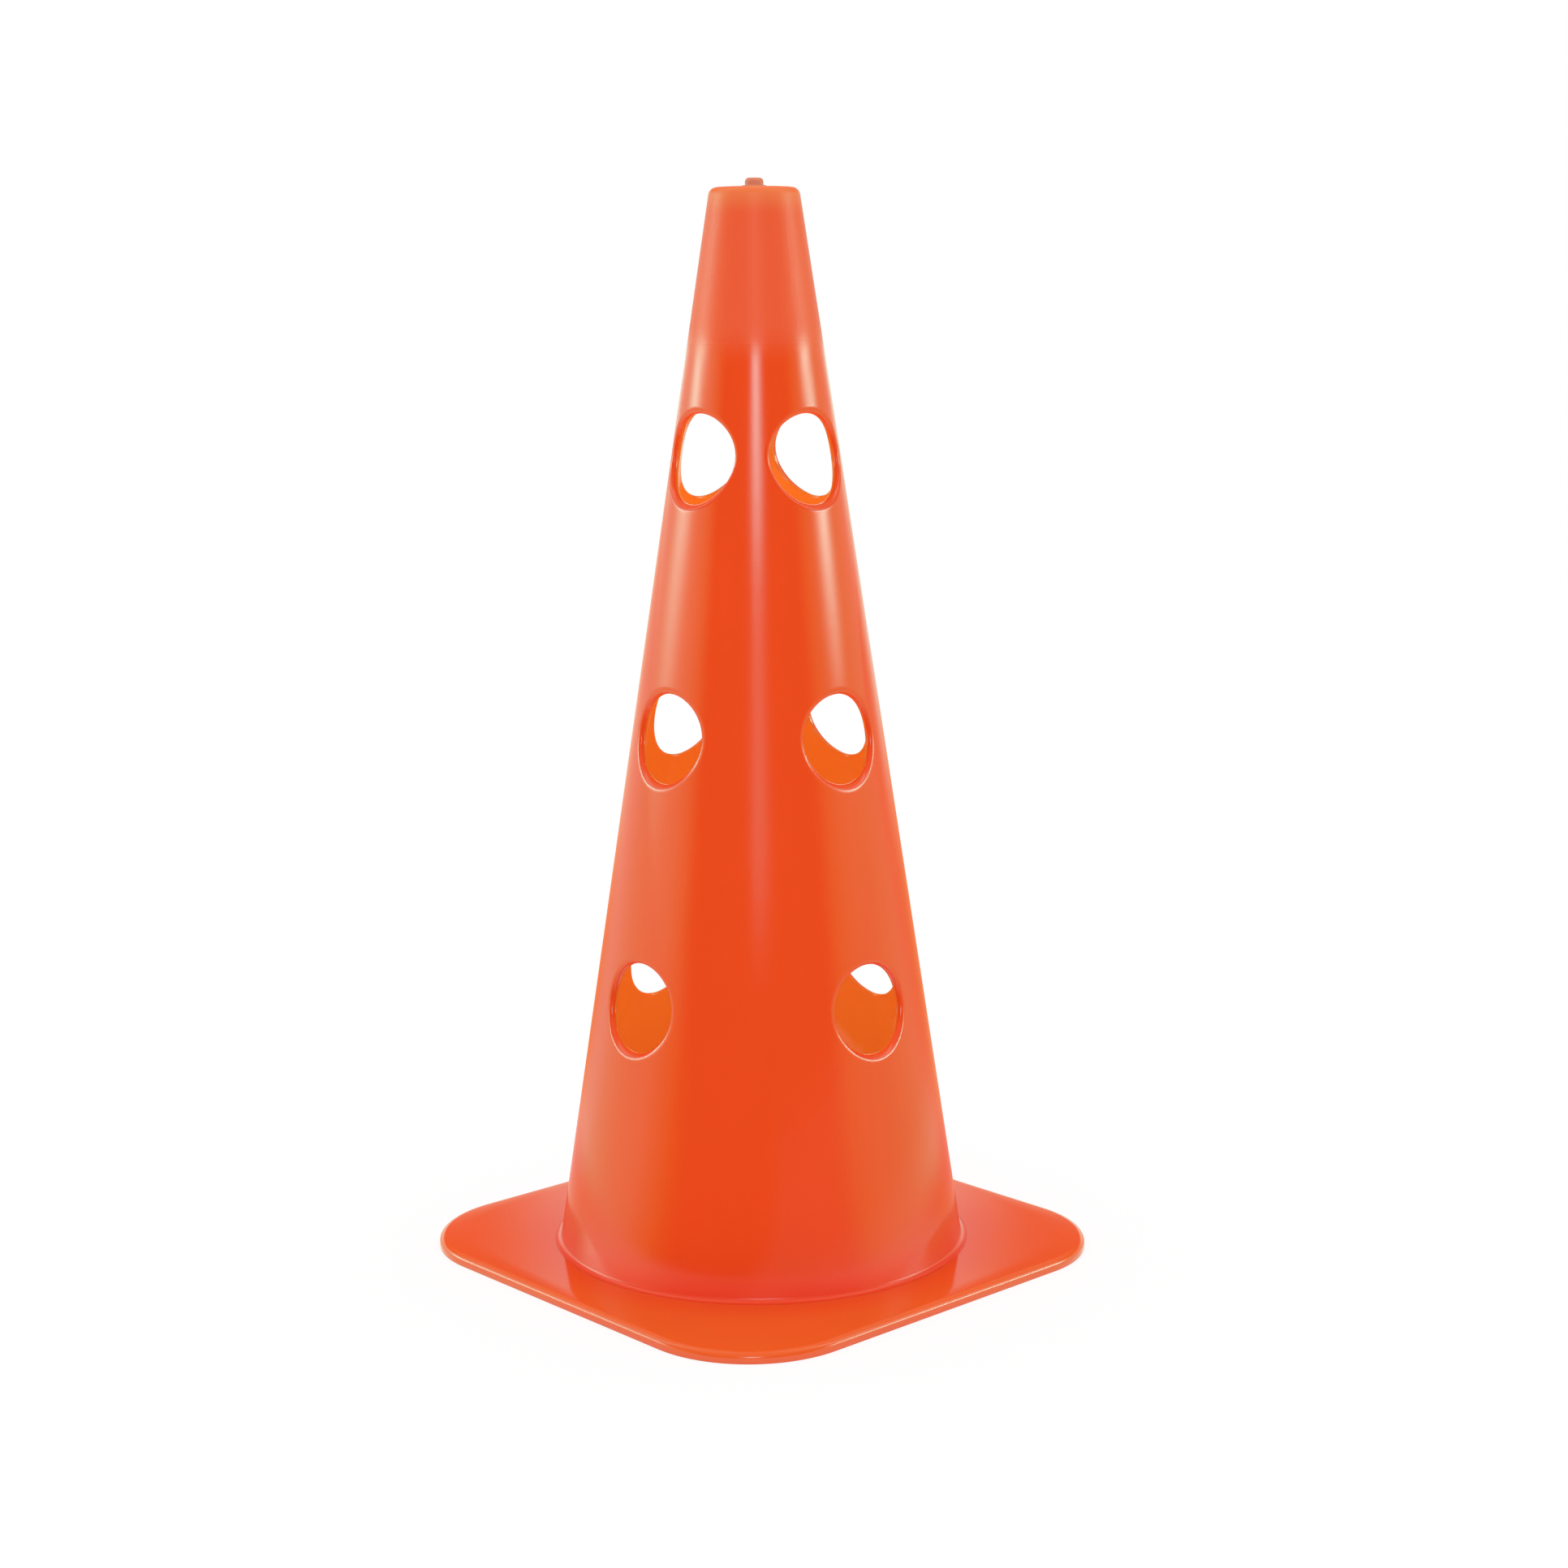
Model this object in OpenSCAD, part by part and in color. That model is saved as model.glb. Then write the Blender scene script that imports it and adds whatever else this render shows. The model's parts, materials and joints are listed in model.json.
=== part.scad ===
// Sports marker cone: a hollow tapered body with three rows of pole holes, clipped through a square
// base plate, with a small plug in the top. All lengths are in millimetres, +Z is up, and the origin
// is the middle of the ground under the base. The base's sides and the holes face X and Y.

/* [Cone body] */
// Height of the flat top above the ground
cone_h = 380; // [320:5:460]
// Outer diameter that the straight wall reaches at the flat top
top_d = 31; // [27:0.5:40]
// Outer diameter of the wall where it meets the base's top face
foot_d = 147; // [120:1:160]
// Thickness of the moulded wall, measured square to it
wall = 3.2; // [2:0.1:4]
// Rounding of the outer edge of the flat top
top_round = 3; // [2:0.25:5]

/* [Pole holes] */
// Diameter of each hole, which takes a 25 mm pole with room to spare
hole_d = 31; // [22:0.5:34]
// Height of the lowest row's centres above the ground
hole_low_z = 99; // [70:0.5:120]
// Depth of the highest row's centres below the flat top
hole_top_drop = 92; // [70:0.5:110]

/* [Foot lip] */
// Radius of the hollow that runs the wall out into the lip
foot_fillet = 2; // [1:0.25:4]
// Width of the lip beyond that hollow
lip_w = 1; // [0.5:0.25:4]
// Thickness of the lip on the base's top face
lip_t = 0.6; // [0.4:0.1:2]

/* [Base plate] */
// Width of the plate from the foot to the middle of a side
base_border = 22.5; // [16:0.5:45]
// Radius of the base's corners, seen from above
base_corner = 41.5; // [15:0.5:60]
// Height of the base's top face above the ground
base_h = 4; // [3.8:0.1:8]
// Thickness of the plate
base_t = 2.2; // [1.5:0.1:2.6]
// Rounding of the base's upper edge
base_round = 2; // [0.5:0.25:3]
// Thickness of the rim that is turned down to the ground
rim_t = 2.5; // [1.5:0.25:4]

/* [Clips under the base] */
// Number of spring tongues that the body's spigot is cut into
clip_count = 8; // [4:1:16]
// Width of the slot between two tongues
clip_slot_w = 5; // [2:0.5:10]
// Thickness of the spigot
spigot_t = 2.5; // [1.5:0.25:3.5]
// Clearance between the spigot and the base's opening
spigot_gap = 0.3; // [0.1:0.05:0.6]
// How far each tongue's hook reaches under the base
hook_reach = 1.2; // [0.6:0.1:2]
// Height of the hook's upright edge
hook_edge = 0.4; // [0.2:0.1:0.8]
// Play between the hooks and the base's underside
hook_play = 0.1; // [0.05:0.05:0.3]
// Clearance of the hooks and the ribs above the ground
ground_gap = 0.3; // [0.1:0.1:0.6]

/* [Ribs under the base] */
// Thickness of a rib
rib_t = 1.6; // [1:0.1:2.5]
// Clear width for the hooks between the opening and the ring rib
ring_gap = 3; // [2.5:0.25:5]
// Angle between neighbouring ribs in a corner
rib_spread = 18; // [10:1:25]

/* [Top plug] */
// Diameter of the plug's stub
stub_d = 6.4; // [5:0.2:8]
// Height of the stub above the flat top
stub_h = 3.2; // [2:0.2:5]
// Rounding of the stub's upper edge
stub_round = 1.4; // [0.5:0.1:2]
// Diameter of the flange that lies on the flat top
flange_d = 8.4; // [8:0.2:12]
// Thickness of that flange
flange_t = 0.6; // [0.4:0.1:1.2]
// Diameter of the stem in the top's wall
stem_d = 4; // [3:0.1:4.6]
// Clearance round the stem
stem_gap = 0.15; // [0.05:0.05:0.3]
// How far the barb under the top reaches past its hole
barb_reach = 0.5; // [0.3:0.1:1]
// Length of the barb's taper
barb_l = 2.5; // [1.5:0.25:4]

/* [Hidden] */
$fn = 96;

// One overrun serves every cut
cut = 1;
// Height of the middle row, as a share of the way from the lowest row to the highest
mid_row_share = 0.494;
// Ribs in each of the base's corners
corner_ribs = 3;
orange = [0.92, 0.33, 0.13];
dull_orange = [0.85, 0.50, 0.36];

foot_r = foot_d / 2;
base_w = foot_d + 2 * base_border;
base_inset = base_w / 2 - base_corner;
top_r = top_d / 2;
lean = atan((foot_r - top_r) / (cone_h - base_h));
// Width of the wall along a level line
wall_level = wall / cos(lean);
hole_rows = [
    hole_low_z,
    hole_low_z + (cone_h - hole_top_drop - hole_low_z) * mid_row_share,
    cone_h - hole_top_drop
];
spigot_outer_r = inner_r(base_h) + spigot_t;
opening_r = spigot_outer_r + spigot_gap;
lip_r = foot_r + foot_fillet + lip_w;
under_z = base_h - base_t;
ring_inner_r = opening_r + ring_gap;
stem_r = stem_d / 2;
stem_hole_r = stem_r + stem_gap;
barb_z = cone_h - wall - stem_gap;

// Outer and inner radius of the tapered wall at a height
function outer_r(z) = foot_r - (z - base_h) * tan(lean);
function inner_r(z) = outer_r(z) - wall_level;

// The wall from the lip up to the closed top, in radius and height
module body_outline() {
    round_z = cone_h - top_round;
    round_r = outer_r(round_z) - top_round / cos(lean);
    difference() {
        union() {
            polygon([
                [0, base_h],
                [foot_r, base_h],
                [round_r + top_round * cos(lean), round_z + top_round * sin(lean)],
                [round_r, cone_h],
                [0, cone_h]
            ]);
            translate([round_r, round_z]) circle(top_round);
        }
        polygon([
            [0, base_h - cut],
            [inner_r(base_h - cut), base_h - cut],
            [inner_r(cone_h - wall), cone_h - wall],
            [0, cone_h - wall]
        ]);
    }
}

// The lip on the base, with the hollow that runs up into the wall
module lip_outline() {
    lip_top = base_h + lip_t;
    hollow_z = lip_top + foot_fillet;
    hollow_r = outer_r(hollow_z) + foot_fillet / cos(lean);
    difference() {
        polygon([
            [inner_r(base_h), base_h],
            [lip_r, base_h],
            [lip_r, lip_top],
            [hollow_r, lip_top],
            [hollow_r - foot_fillet * cos(lean), hollow_z - foot_fillet * sin(lean)],
            [inner_r(hollow_z), hollow_z]
        ]);
        translate([hollow_r, hollow_z]) circle(foot_fillet);
    }
}

// The spigot through the base's opening, and the hook at its lower end
module spigot_outline() {
    hook_top = under_z - hook_play;
    polygon([
        [spigot_outer_r - spigot_t, ground_gap],
        [spigot_outer_r, ground_gap],
        [spigot_outer_r + hook_reach, hook_top - hook_edge],
        [spigot_outer_r + hook_reach, hook_top],
        [spigot_outer_r, hook_top],
        [spigot_outer_r, base_h],
        [spigot_outer_r - spigot_t, base_h]
    ]);
}

module cone_shell() {
    color(orange) difference() {
        rotate_extrude() {
            body_outline();
            lip_outline();
            spigot_outline();
        }
        for (z = hole_rows, turn = [0, 90])
            translate([0, 0, z]) rotate([0, 90, turn])
                cylinder(d = hole_d, h = foot_d + cut, center = true);
        for (i = [0 : clip_count - 1])
            rotate([0, 0, (i + 0.5) * 360 / clip_count])
                translate([inner_r(base_h) - cut, -clip_slot_w / 2, -cut])
                    cube([spigot_t + hook_reach + 2 * cut, clip_slot_w, base_h - spigot_gap + cut]);
        translate([0, 0, cone_h - wall - cut]) cylinder(r = stem_hole_r, h = wall + 2 * cut);
    }
}

// The base's edge from a corner's centre outwards: plate, rounded upper edge and turned-down rim
module edge_outline() {
    rim_r = base_corner - rim_t;
    difference() {
        rounded_bar(base_corner, base_h, base_round);
        square_from(-cut, -cut, rim_r, under_z);
    }
}

// An upright rectangle from the origin whose far upper corner is rounded
module rounded_bar(w, h, round) {
    square([w, h - round]);
    square([w - round, h]);
    translate([w - round, h - round]) intersection() {
        circle(round);
        square(round);
    }
}

// One quarter of the plate: a corner, the strip beside it and a share of the middle
module base_quarter() {
    translate([base_inset, base_inset, 0]) {
        rotate_extrude(angle = 90) edge_outline();
        rotate([90, 0, 0]) linear_extrude(2 * base_inset) edge_outline();
    }
}

// Ribs from the ring under the opening out to the rim, in one corner
module corner_rib_set() {
    rib_l = base_inset * sqrt(2) + base_corner - rim_t / 2 - ring_inner_r - rib_t / 2;
    for (i = [0 : corner_ribs - 1])
        rotate([0, 0, 45 + (i - (corner_ribs - 1) / 2) * rib_spread])
            translate([ring_inner_r + rib_t / 2, -rib_t / 2, ground_gap])
                cube([rib_l, rib_t, under_z - ground_gap + base_t / 2]);
}

module base_plate() {
    color(orange) difference() {
        union() {
            for (turn = [0 : 90 : 270]) rotate([0, 0, turn]) base_quarter();
            translate([-base_inset, -base_inset, under_z]) cube([2 * base_inset, 2 * base_inset, base_t]);
            intersection() {
                for (turn = [0 : 90 : 270]) rotate([0, 0, turn]) corner_rib_set();
                linear_extrude(base_h) rounded_square(base_w - rim_t, base_corner - rim_t / 2);
            }
            translate([0, 0, ground_gap]) difference() {
                cylinder(r = ring_inner_r + rib_t, h = under_z - ground_gap + base_t / 2);
                translate([0, 0, -cut]) cylinder(r = ring_inner_r, h = under_z - ground_gap + cut);
            }
        }
        translate([0, 0, -cut]) cylinder(r = opening_r, h = base_h + 2 * cut);
    }
}

// A square outline with round corners
module rounded_square(side, corner) {
    inset = side / 2 - corner;
    square([side, 2 * inset], center = true);
    square([2 * inset, side], center = true);
    for (x = [-inset, inset], y = [-inset, inset]) translate([x, y]) circle(corner);
}

module top_plug() {
    color(dull_orange) rotate_extrude() {
        square_from(0, cone_h, flange_d / 2, cone_h + flange_t);
        translate([0, cone_h]) rounded_bar(stub_d / 2, stub_h, stub_round);
        square_from(0, barb_z, stem_r, cone_h);
        polygon([
            [0, barb_z - barb_l],
            [stem_r - barb_reach, barb_z - barb_l],
            [stem_hole_r + barb_reach, barb_z],
            [0, barb_z]
        ]);
    }
}

// A rectangle given by two opposite corners
module square_from(x0, y0, x1, y1) {
    translate([x0, y0]) square([x1 - x0, y1 - y0]);
}

cone_shell();
base_plate();
top_plug();
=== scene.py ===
"""Sports marker cone: a hollow glossy orange cone with three rows of pole holes, its square base
plate and the small plug in its top. Lengths are in metres, +Z is up, and the origin is the middle
of the ground under the base.
"""
import json
import math

import bpy
from mathutils import Matrix, Vector


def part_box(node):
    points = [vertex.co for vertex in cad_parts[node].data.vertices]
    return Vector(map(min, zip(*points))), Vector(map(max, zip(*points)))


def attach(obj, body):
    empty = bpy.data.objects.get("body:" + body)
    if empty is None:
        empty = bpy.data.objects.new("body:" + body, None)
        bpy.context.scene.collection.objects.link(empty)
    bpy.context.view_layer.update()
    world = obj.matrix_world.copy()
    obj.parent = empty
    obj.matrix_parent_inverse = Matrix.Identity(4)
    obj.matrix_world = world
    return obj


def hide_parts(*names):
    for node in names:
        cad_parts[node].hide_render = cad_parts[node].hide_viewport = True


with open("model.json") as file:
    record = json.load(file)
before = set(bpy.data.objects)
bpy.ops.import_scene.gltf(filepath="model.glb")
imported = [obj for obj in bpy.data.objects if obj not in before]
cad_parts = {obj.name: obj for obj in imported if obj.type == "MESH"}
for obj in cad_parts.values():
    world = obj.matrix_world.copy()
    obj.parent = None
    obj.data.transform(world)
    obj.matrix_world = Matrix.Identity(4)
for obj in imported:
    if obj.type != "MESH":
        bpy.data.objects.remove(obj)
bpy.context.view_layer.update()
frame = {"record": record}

bl_info = {
    "name": "Sports marker cone",
    "version": (1, 0, 0),
    "blender": (4, 5, 0),
    "location": "View3D > Sidebar > Marker Cone",
    "description": "Builds a hollow marker cone with pole holes, its base plate and its top plug",
    "category": "Add Mesh",
}

MM = 0.001
RIGHT_ANGLE = math.pi / 2

# Points of a mesh that lie closer than this become one
WELD = 2e-6
# Edges that bend by more than this, in radians, stay sharp
CREASE = 0.6
PLATE_CREASE = 0.5


# Node trees


class Wire:
    """A socket in a node tree. Python's operators on it add Math nodes."""

    def __init__(self, graph, socket):
        self.graph, self.socket = graph, socket

    def math(self, operation, *others):
        return self.graph.math(operation, self, *others)

    def __add__(self, other):
        return self.math("ADD", other)

    def __radd__(self, other):
        return self.graph.math("ADD", other, self)

    def __sub__(self, other):
        return self.math("SUBTRACT", other)

    def __rsub__(self, other):
        return self.graph.math("SUBTRACT", other, self)

    def __mul__(self, other):
        return self.math("MULTIPLY", other)

    def __rmul__(self, other):
        return self.graph.math("MULTIPLY", other, self)

    def __truediv__(self, other):
        return self.math("DIVIDE", other)

    def __rtruediv__(self, other):
        return self.graph.math("DIVIDE", other, self)

    def __neg__(self):
        return self.math("MULTIPLY", -1.0)


class Graph:
    """A node tree that is being built, for a material, the world or a Geometry Nodes modifier."""

    def __init__(self, tree):
        self.tree = tree

    def node(self, kind, settings=None, values=None, out=0):
        """Add a node, with its settings first and then the value or link of each socket."""
        made = self.tree.nodes.new(kind)
        for name, value in (settings or {}).items():
            setattr(made, name, value)
        for key, value in (values or {}).items():
            for one in value if isinstance(value, Together) else [value]:
                if isinstance(one, Wire):
                    self.tree.links.new(one.socket, made.inputs[key])
                else:
                    made.inputs[key].default_value = one
        return Wire(self, made.outputs[out]) if len(made.outputs) else None

    def math(self, operation, *values):
        return self.node("ShaderNodeMath", {"operation": operation}, dict(enumerate(values)))

    def ease(self, value, low, high, start=0.0, end=1.0):
        """A smooth step of value from start at low to end at high."""
        return self.node(
            "ShaderNodeMapRange",
            {"interpolation_type": "SMOOTHSTEP"},
            {"Value": value, "From Min": low, "From Max": high, "To Min": start, "To Max": end},
        )

    def blend(self, share, one, other):
        """A colour between two colours."""
        return self.node(
            "ShaderNodeMix", {"data_type": "RGBA"}, {0: share, 6: one, 7: other}, out=2
        )

    def shaded(self, colour, tone):
        """A colour made lighter or darker by a factor."""
        return self.node(
            "ShaderNodeVectorMath", {"operation": "SCALE"}, {0: colour, "Scale": tone}
        )

    def noise(self, where, scale, detail):
        return self.node(
            "ShaderNodeTexNoise", None, {"Vector": where, "Scale": scale, "Detail": detail}
        )

    def bump(self, strength, distance, height):
        return self.node(
            "ShaderNodeBump",
            None,
            {"Strength": strength, "Distance": distance, "Height": height},
        )

    def parts(self, vector):
        split = self.node("ShaderNodeSeparateXYZ", None, {0: vector}).socket.node
        return [Wire(self, socket) for socket in split.outputs]

    def vector(self, x, y, z):
        return self.node("ShaderNodeCombineXYZ", None, {0: x, 1: y, 2: z})


class Together(list):
    """Several links into one socket."""


# Shape trees


class ShapeGraph(Graph):
    """A Geometry Nodes tree with named inputs for its sizes."""

    def __init__(self, name, sizes, takes_mesh=False):
        tree = bpy.data.node_groups.new(name, "GeometryNodeTree")
        super().__init__(tree)
        sockets = tree.interface
        if takes_mesh:
            sockets.new_socket("Mesh", in_out="INPUT", socket_type="NodeSocketGeometry")
        for size, value in sizes.items():
            kind = "NodeSocketInt" if isinstance(value, int) else "NodeSocketFloat"
            socket = sockets.new_socket(size, in_out="INPUT", socket_type=kind)
            socket.default_value = value
        sockets.new_socket("Mesh", in_out="OUTPUT", socket_type="NodeSocketGeometry")
        given = self.node("NodeGroupInput").socket.node.outputs
        self.given = {socket.name: Wire(self, socket) for socket in given if socket.name}
        x, y, z = self.parts(self.node("GeometryNodeInputPosition"))
        self.across, self.along, self.up = x + 0.5, y + 0.5, z + 0.5

    def finish(self, mesh):
        self.node("NodeGroupOutput", None, {0: mesh})
        return self.tree

    def sheet(self, columns, rows, place):
        """A grid of faces put in place by a field of self.across and self.along, from 0 to 1."""
        grid = self.node(
            "GeometryNodeMeshGrid",
            None,
            {"Size X": 1.0, "Size Y": 1.0, "Vertices X": columns + 1, "Vertices Y": rows + 1},
        )
        return self.node("GeometryNodeSetPosition", None, {"Geometry": grid, "Position": place})

    def join(self, meshes):
        return self.node("GeometryNodeJoinGeometry", None, {"Geometry": Together(meshes)})

    def around(self, mesh, count, start=0.0):
        """Copies of mesh turned about the Z axis in equal steps."""
        points = self.node("GeometryNodeMeshLine", None, {"Count": count, "Offset": (0, 0, 0)})
        step = self.node("GeometryNodeInputIndex") * (2 * math.pi / count) + start
        return self.node(
            "GeometryNodeInstanceOnPoints",
            None,
            {"Points": points, "Instance": mesh, "Rotation": self.vector(0, 0, step)},
        )

    def welded(self, mesh):
        return self.node(
            "GeometryNodeMergeByDistance", None, {"Geometry": mesh, "Distance": WELD}
        )

    def dressed(self, mesh, material, crease=CREASE):
        """Smooth faces with sharp creases, in one material."""
        mesh = self.welded(self.node("GeometryNodeRealizeInstances", None, {"Geometry": mesh}))
        smooth = self.node(
            "GeometryNodeSetShadeSmooth",
            {"domain": "FACE"},
            {"Geometry": mesh, "Shade Smooth": True},
        )
        sharp = self.node(
            "FunctionNodeCompare",
            {"operation": "GREATER_THAN"},
            {0: self.node("GeometryNodeInputMeshEdgeAngle"), 1: crease},
        )
        creased = self.node(
            "GeometryNodeSetShadeSmooth",
            {"domain": "EDGE"},
            {"Geometry": smooth, "Selection": sharp, "Shade Smooth": False},
        )
        return self.node(
            "GeometryNodeSetMaterial", None, {"Geometry": creased, "Material": material}
        )


# Sizes and colours


def length(name, description, value):
    return bpy.props.FloatProperty(
        name=name, description=description, default=value, min=0.0, precision=5, unit="LENGTH"
    )


def turned_by(name, description, degrees):
    return bpy.props.FloatProperty(
        name=name, description=description, default=math.radians(degrees), subtype="ANGLE"
    )


def colour(name, description, value):
    return bpy.props.FloatVectorProperty(
        name=name, description=description, default=value, size=3, min=0, max=1, subtype="COLOR"
    )


def share(name, description, value):
    return bpy.props.FloatProperty(
        name=name, description=description, default=value, min=0, max=1, subtype="FACTOR"
    )


SHELL_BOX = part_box("cone_shell")
PLATE_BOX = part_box("base_plate")
PLUG_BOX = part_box("top_plug")
MOUNTS = {mount["name"]: mount for mount in frame["record"]["mounts"]}
HOLE_RADIUS_MM = MOUNTS["pole_low_x"]["dims"]["r_mm"]


def row_height(name):
    """Height of a row of holes, from its mount in the frame."""
    return MOUNTS[f"pole_{name}_x"]["pos_m"][2]


class MARKERCONE_PG_body(bpy.types.PropertyGroup):
    """Sizes of the cone's hollow body."""

    height: length("Height", "Flat top above the ground", SHELL_BOX[1].z)
    top_width: length("Top width", "Width that the straight wall reaches at the flat top", 31 * MM)
    foot_width: length("Foot width", "Width of the wall on the base plate", 147 * MM)
    wall: length("Wall", "Thickness of the wall, square to it", 3.2 * MM)
    top_round: length("Top rounding", "Rounding of the flat top's edge", 3 * MM)
    foot_fillet: length("Foot hollow", "Radius of the hollow that runs out into the lip", 2 * MM)
    lip_width: length("Lip width", "Width of the lip beyond the hollow", 0.2 * MM)
    lip_height: length("Lip height", "Thickness of the lip's thin edge", 0.03 * MM)
    spigot_radius: length("Spigot radius", "Outer radius of the clips under the body", 72.762 * MM)
    spigot_wall: length("Clip thickness", "Thickness of the clips", 2.5 * MM)
    clip_slot: length("Clip slot", "Width of the slot between two clips", 5 * MM)
    hook_reach: length("Hook reach", "How far each hook reaches under the plate", 1.2 * MM)
    plug_hole: length("Plug hole", "Radius of the hole for the plug", 2.15 * MM)


class MARKERCONE_PG_holes(bpy.types.PropertyGroup):
    """Sizes of the pole holes."""

    width: length("Width", "Width of each hole", 2 * MM * HOLE_RADIUS_MM)
    low_row: length("Low row", "Centres of the low row above the ground", row_height("low"))
    mid_row: length("Middle row", "Centres of the middle row above the ground", row_height("mid"))
    high_row: length("High row", "Centres of the high row above the ground", row_height("high"))
    outer_round: length("Outer edge", "Rounding of each hole's outer edge", 2.2 * MM)
    inner_round: length("Inner edge", "Rounding of each hole's inner edge", 0.8 * MM)


class MARKERCONE_PG_base(bpy.types.PropertyGroup):
    """Sizes of the base plate."""

    width: length("Width", "Width across the sides", PLATE_BOX[1].x - PLATE_BOX[0].x)
    height: length("Height", "Top face above the ground", PLATE_BOX[1].z)
    plate: length("Plate", "Thickness of the plate", 2.2 * MM)
    corner: length("Corner radius", "Radius of the corners, seen from above", 41.5 * MM)
    edge_round: length("Edge rounding", "Rounding of the upper edge", 2.4 * MM)
    rim: length("Rim", "Thickness of the rim turned down to the ground", 2.5 * MM)
    opening: length("Opening radius", "Radius of the opening under the cone", 73.062 * MM)
    ring_gap: length("Ring gap", "From the opening to the ring rib", 3 * MM)
    rib: length("Rib", "Thickness of the ribs", 1.6 * MM)
    rib_clearance: length("Rib clearance", "From the ribs to the ground", 0.3 * MM)


class MARKERCONE_PG_plug(bpy.types.PropertyGroup):
    """Sizes of the top plug."""

    stub_width: length("Stub width", "Width of the stub above the flat top", 6.4 * MM)
    stub_height: length("Stub height", "Height of the stub", PLUG_BOX[1].z - SHELL_BOX[1].z)
    stub_round: length("Stub rounding", "Rounding of the stub's upper edge", 1.4 * MM)
    flange_width: length("Flange width", "Width of the flange on the flat top", 8.4 * MM)
    flange_height: length("Flange height", "Thickness of the flange", 0.6 * MM)
    stem_width: length("Stem width", "Width of the stem in the top's wall", 4 * MM)
    barb_reach: length("Barb reach", "How far the barb reaches past its hole", 0.5 * MM)
    barb_length: length("Barb length", "Length of the barb's taper", 2.5 * MM)


class MARKERCONE_PG_finish(bpy.types.PropertyGroup):
    """Colours and finish of the plastics."""

    orange: colour("Orange", "Colour of the body", (0.825, 0.0725, 0.0115))
    plate_orange: colour("Plate orange", "Colour of the base plate", (0.825, 0.112, 0.018))
    # A painted glow: the inner faces are made lighter, standing for light that comes through the wall
    inner_glow_orange: colour("Inner orange", "Colour where light comes through", (0.70, 0.19, 0.02))
    # Painted shade: the body is made deeper red at the foot, where less light reaches
    foot_shade_orange: colour("Foot orange", "Deeper colour at the foot", (0.90, 0.055, 0.011))
    # The frosted top is a touch paler: partly the frosting itself, partly a painted sheen for light
    # from the sides
    frosted_sheen_orange: colour("Frosted orange", "Colour of the frosted top", (0.84, 0.086, 0.011))
    # A painted highlight: the flat top's edge is made paler where it faces the light from above
    painted_highlight_orange: colour("Scuffed orange", "Colour of the flat top's scuffed edge", (0.84, 0.165, 0.036))
    plug_orange: colour("Plug orange", "Duller colour of the plug", (0.70, 0.22, 0.12))
    gloss: share("Roughness", "Roughness of the polished plastic", 0.08)
    plate_gloss: share("Base roughness", "Roughness of the base plate", 0.11)
    frost: share("Frosted roughness", "Roughness of the frosted top", 0.43)
    frost_from: length("Frost begins", "Height where the frosting begins", 0.3185)
    frost_full: length("Frost is full", "Height where the frosting is full", 0.3345)


# Pieces


def plain_mesh(piece):
    """Turn a piece and its live modifiers into a plain mesh."""
    bpy.context.view_layer.update()
    done = piece.evaluated_get(bpy.context.evaluated_depsgraph_get())
    mesh = bpy.data.meshes.new_from_object(done)
    old = piece.data
    piece.modifiers.clear()
    piece.data = mesh
    mesh.name = piece.name
    bpy.data.meshes.remove(old)
    return piece


def grown(name, tree, mesh=None):
    """A new piece that a shape tree makes, with its sizes as the tree's own defaults."""
    piece = bpy.data.objects.new(name, mesh or bpy.data.meshes.new(name))
    bpy.context.scene.collection.objects.link(piece)
    growth = piece.modifiers.new("Shape", "NODES")
    growth.node_group = tree
    for item in tree.interface.items_tree:
        if item.in_out == "INPUT" and item.socket_type != "NodeSocketGeometry":
            growth[item.identifier] = item.default_value
    return plain_mesh(piece)


def hand_over(piece, node):
    """The piece stands for a node of the frame and rides on its body."""
    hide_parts(node)
    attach(piece, "root")


# Faces round each hole, and round the whole cone
AROUND = 128
CLIPS = 8
# Play between the clips' hooks and the plate's underside, and the height of a hook's upright edge
HOOK_PLAY = 0.1 * MM
HOOK_EDGE = 0.4 * MM
# How far a clip or a rib reaches into what it hangs from
OVERLAP = 0.2 * MM


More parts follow.
